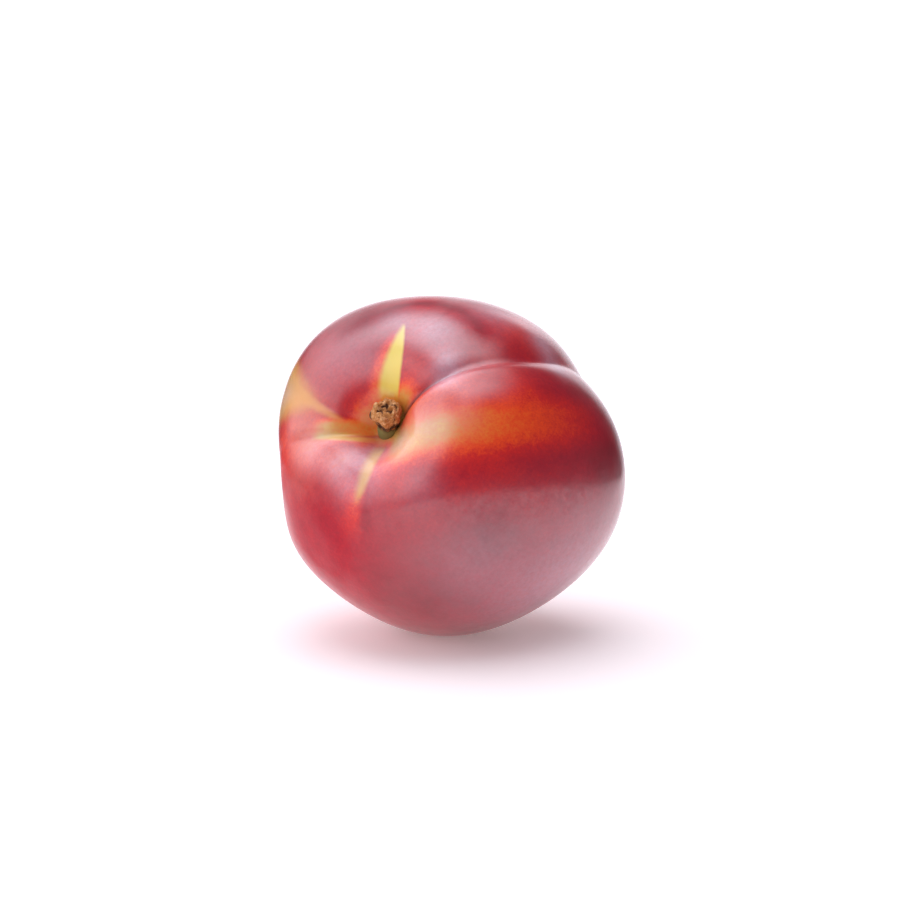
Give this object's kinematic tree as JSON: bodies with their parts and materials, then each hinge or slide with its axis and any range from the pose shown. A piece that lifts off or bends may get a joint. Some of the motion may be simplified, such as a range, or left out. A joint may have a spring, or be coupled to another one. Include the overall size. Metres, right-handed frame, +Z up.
{
  "type": "nectarine",
  "caption": "Ripe nectarine lying on its cheek, with a deep stem cavity, a long suture between its cheeks and a torn woody stem stub.",
  "frame": {"origin": "middle of the small flat spot that the fruit rests on", "axes": "+Z up from the surface; -Y towards the side with the stem cavity, which opens to the left of it and upwards; +X to the right as seen from there"},
  "size_m": [0.0677, 0.0643, 0.0662],
  "materials": {
    "fruit_skin": "smooth waxy fruit skin, crimson to maroon over yellow, satin gloss",
    "stem_wood": "rough torn bark, matt brown, green at the foot"
  },
  "bodies": {
    "root": {"fruit": "fruit_skin", "stem": "stem_wood"}
  },
  "joints": []
}
